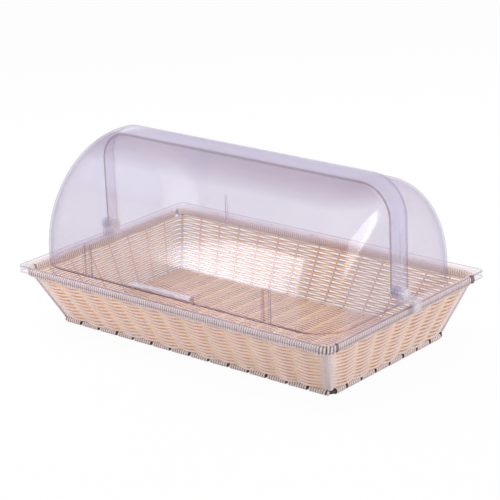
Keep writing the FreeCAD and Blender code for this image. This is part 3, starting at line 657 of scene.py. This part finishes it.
def strap_turn(width, tall, strap_width):
    """One turn of cane round a ring, about the origin, with the ring running along X."""
    turn = bmesh.new()
    bmesh.ops.create_circle(turn, cap_ends=False, segments=STRAP_SECTION_SIDES, radius=0.5)
    bmesh.ops.scale(turn, vec=(strap_width, STRAP_THICKNESS, 1), verts=turn.verts)
    drop = tall - width
    bmesh.ops.translate(turn, vec=(0, (width - STRAP_THICKNESS) / 2, drop / 2), verts=turn.verts)
    ends = list(turn.edges)
    for centre, pull in ((drop / 2, -drop), (-drop / 2, drop)):
        ends = edges_in(bmesh.ops.spin(turn, geom=ends, cent=(0, 0, centre), axis=(1, 0, 0), angle=math.pi,
                                       steps=ARC_STEPS, use_duplicate=False)["geom_last"])
        if drop > 0:
            pulled = bmesh.ops.extrude_edge_only(turn, edges=ends)["geom"]
            bmesh.ops.translate(turn, vec=(0, 0, pull), verts=verts_in(pulled))
            ends = edges_in(pulled)
    bmesh.ops.remove_doubles(turn, verts=turn.verts, dist=MERGE_GAP)
    for vert in turn.verts:
        vert.co.x += STRAP_LEAN * vert.co.z / tall
    bmesh.ops.recalc_face_normals(turn, faces=turn.faces)
    for face in turn.faces:
        face.smooth = True
    mesh = bpy.data.meshes.new("strap_turn")
    turn.to_mesh(mesh)
    turn.free()
    return mesh


def strap_painted_light(vert):
    """How lit the strap is painted: 1 on the strap's crown, -1 in painted shade at its edges and underside,
    judged by how squarely it faces out.
    """
    away = Vector((0, vert.co.y, vert.co.z))
    facing = vert.normal.dot(away.normalized()) if away.length > 0 else 1
    return limited(1 - STRAP_SHADE_CONTRAST * (1 - facing), -1)


def inner_share(place, ring):
    """1 on the side of a ring that faces into the basket, 0 on its outer side."""
    return limited(-max(abs(place.x) - ring.half_x, abs(place.y) - ring.half_y) / INNER_FADE)


def wound(name, ring, strap, step, stake_gap, bare, bare_shift):
    """A winding round a ring, turn by turn, with gaps at the stakes and a bare spot by each corner."""
    total = loop_length(ring)
    places = upright_places(ring)
    posts = [place for place, is_post in places if is_post]
    gaps = [(place, stake_gap) for place, is_post in places if not is_post]
    gaps += [(place + shift * bare_shift, bare) for place, shift in zip(posts, (1, -1, 1, -1))]
    binding = bmesh.new()
    turns = round(total / step)
    wound_turns = 0
    for index in range(turns):
        travelled = total * index / turns
        apart = [(abs(travelled - place), gap) for place, gap in gaps]
        if any(min(distance, total - distance) < gap for distance, gap in apart):
            continue
        point, outward = loop_point(ring, travelled)
        before = len(binding.verts)
        binding.from_mesh(strap)
        binding.verts.ensure_lookup_table()
        place = Matrix(((-outward.y, outward.x, 0, point.x),
                        (outward.x, outward.y, 0, point.y),
                        (0, 0, 1, ring.height),
                        (0, 0, 0, 1)))
        bmesh.ops.transform(binding, matrix=place, verts=binding.verts[before:])
        wound_turns += 1
    bmesh.ops.recalc_face_normals(binding, faces=binding.faces)
    mesh = bpy.data.meshes.new(name)
    binding.to_mesh(mesh)
    binding.free()
    # Painted light on each turn's crown, painted shade at its edges, and painted warm shade on the ring's
    # inner side
    keep_marks(mesh, "painted_light", [strap_painted_light(vert) for vert in strap.vertices] * wound_turns)
    keep_marks(mesh, "inner_warm_shade", [INNER_SHADE * inner_share(vert.co, ring) for vert in mesh.vertices])
    piece = add_piece(name, mesh, bound_cane)
    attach(piece, "basket")
    return piece


rim_strap = strap_turn(width=9 * MM, tall=13.5 * MM, strap_width=3.55 * MM)
rim_winding = wound("rim_winding", RIM_RING, rim_strap, step=3.85 * MM, stake_gap=0, bare=2.6 * MM,
                    bare_shift=12.5 * MM)
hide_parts(*["rim_binding_" + side for side in SIDES])
foot_strap = strap_turn(width=9 * MM, tall=9 * MM, strap_width=3.65 * MM)
foot_winding = wound("foot_winding", FOOT_RING, foot_strap, step=3.9 * MM, stake_gap=1.9 * MM, bare=3.0 * MM,
                     bare_shift=3.0 * MM)
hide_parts(*["foot_binding_" + side for side in SIDES])


# Floor and surroundings

GROUND_HALF, GROUND_DROP = 6.0, 0.2 * MM
GROUND_GREY = (0.62, 0.62, 0.62)
GROUND_GLOW = 0.96
STUDIO_LIGHT, STUDIO_STRENGTH = (0.93, 0.93, 0.97), 0.60


def backdrop_rays(tree):
    """1 for the rays that show the backdrop: the camera's, mirrored ones and those through glass."""
    path = tree.nodes.new("ShaderNodeLightPath")
    shown = path.outputs["Is Camera Ray"]
    for kind in ("Is Glossy Ray", "Is Transmission Ray"):
        shown = calculated(tree, "MAXIMUM", shown, path.outputs[kind])
    return shown


def ground_paper():
    """White paper that shows almost white and still takes the object's shadow."""
    made, tree, paper, output = material("ground_paper")
    paper.inputs["Base Color"].default_value = (*GROUND_GREY, 1)
    paper.inputs["Roughness"].default_value = 0.9
    glow = tree.nodes.new("ShaderNodeEmission")
    glow.inputs["Color"].default_value = (*WHITE, 1)
    glow.inputs["Strength"].default_value = 1.0
    share = calculated(tree, "MULTIPLY", backdrop_rays(tree), GROUND_GLOW)
    mix_shaders(tree, output, share, paper, glow)
    return made


def studio_world():
    """Soft light from all round, with white behind the object."""
    world = bpy.data.worlds.new("studio")
    world.use_nodes = True
    tree = world.node_tree
    tree.nodes.clear()
    output = tree.nodes.new("ShaderNodeOutputWorld")
    soft = tree.nodes.new("ShaderNodeBackground")
    soft.inputs["Color"].default_value = (*STUDIO_LIGHT, 1)
    soft.inputs["Strength"].default_value = STUDIO_STRENGTH
    white = tree.nodes.new("ShaderNodeBackground")
    white.inputs["Color"].default_value = (*WHITE, 1)
    white.inputs["Strength"].default_value = 1.0
    mix_shaders(tree, output, backdrop_rays(tree), soft, white)
    return world


sheet = bmesh.new()
bmesh.ops.create_grid(sheet, x_segments=1, y_segments=1, size=GROUND_HALF)
bmesh.ops.translate(sheet, vec=(0, 0, -GROUND_DROP), verts=sheet.verts)
ground_mesh = bpy.data.meshes.new("ground")
sheet.to_mesh(ground_mesh)
sheet.free()
ground = add_piece("ground", ground_mesh, ground_paper())
bpy.context.scene.world = studio_world()


# Lamps

BASKET_MIDDLE = (0, 0, 0.1)
LEFT_OF_MIDDLE = (-0.1, -0.1, 0.1)


def softbox(name, place, aim, width, height, watts, mirrored=False):
    """A soft lamp; only the mirrored ones show in the gloss of the hoods."""
    light = bpy.data.lights.new(name, "AREA")
    light.shape = "RECTANGLE"
    light.size, light.size_y = width, height
    light.energy = watts
    lamp = bpy.data.objects.new(name, light)
    bpy.context.scene.collection.objects.link(lamp)
    place, aim = Vector(place), Vector(aim)
    turned = (aim - place).to_track_quat("-Z", "Y").to_matrix().to_4x4()
    lamp.matrix_world = Matrix.Translation(place) @ turned
    lamp.visible_glossy = mirrored


softbox("top_softbox", (-0.1, -0.35, 1.6), BASKET_MIDDLE, width=0.9, height=0.7, watts=8.5)
softbox("high_left_softbox", (-1.0, 0.15, 1.3), BASKET_MIDDLE, width=0.9, height=0.9, watts=14)
softbox("left_softbox", (-1.0, -0.85, 0.55), LEFT_OF_MIDDLE, width=0.8, height=0.7, watts=2.6)
softbox("strip_softbox", (-0.775, -1.24, 0.50), (-0.1, -0.1, 0.17), width=0.27, height=0.85, watts=2.4,
        mirrored=True)
softbox("right_softbox", (1.8, 0.4, 0.6), BASKET_MIDDLE, width=1.15, height=0.95, watts=9, mirrored=True)
softbox("back_softbox", (0.35, 1.4, 1.15), BASKET_MIDDLE, width=1.2, height=0.6, watts=14)


# Camera at the photograph's angle

AZIMUTH, ELEVATION, ROLL = math.radians(40.75), math.radians(19.086), math.radians(-2.37)
DISTANCE = 2.816
TARGET = Vector((0.006333, 0, 0.119599))
FOCAL_PIXELS, FRAME_PIXELS, SENSOR = 2021.7, 500, 36
CLEAR_LAYERS = 32

back = Vector((math.sin(AZIMUTH) * math.cos(ELEVATION), -math.cos(AZIMUTH) * math.cos(ELEVATION),
               math.sin(ELEVATION)))
level = (-back).cross(Vector((0, 0, 1))).normalized()
upright = level.cross(-back)
right = level * math.cos(ROLL) + upright * math.sin(ROLL)
above = upright * math.cos(ROLL) - level * math.sin(ROLL)
spot = TARGET + back * DISTANCE
lens = bpy.data.cameras.new("camera")
lens.lens = FOCAL_PIXELS * SENSOR / FRAME_PIXELS
lens.sensor_width = SENSOR
lens.clip_end = 50
camera = bpy.data.objects.new("camera", lens)
bpy.context.scene.collection.objects.link(camera)
camera.matrix_world = Matrix(((right.x, above.x, back.x, spot.x),
                              (right.y, above.y, back.y, spot.y),
                              (right.z, above.z, back.z, spot.z),
                              (0, 0, 0, 1)))
bpy.context.scene.camera = camera
bpy.context.scene.view_settings.view_transform = "Standard"
bpy.context.scene.cycles.transparent_max_bounces = CLEAR_LAYERS
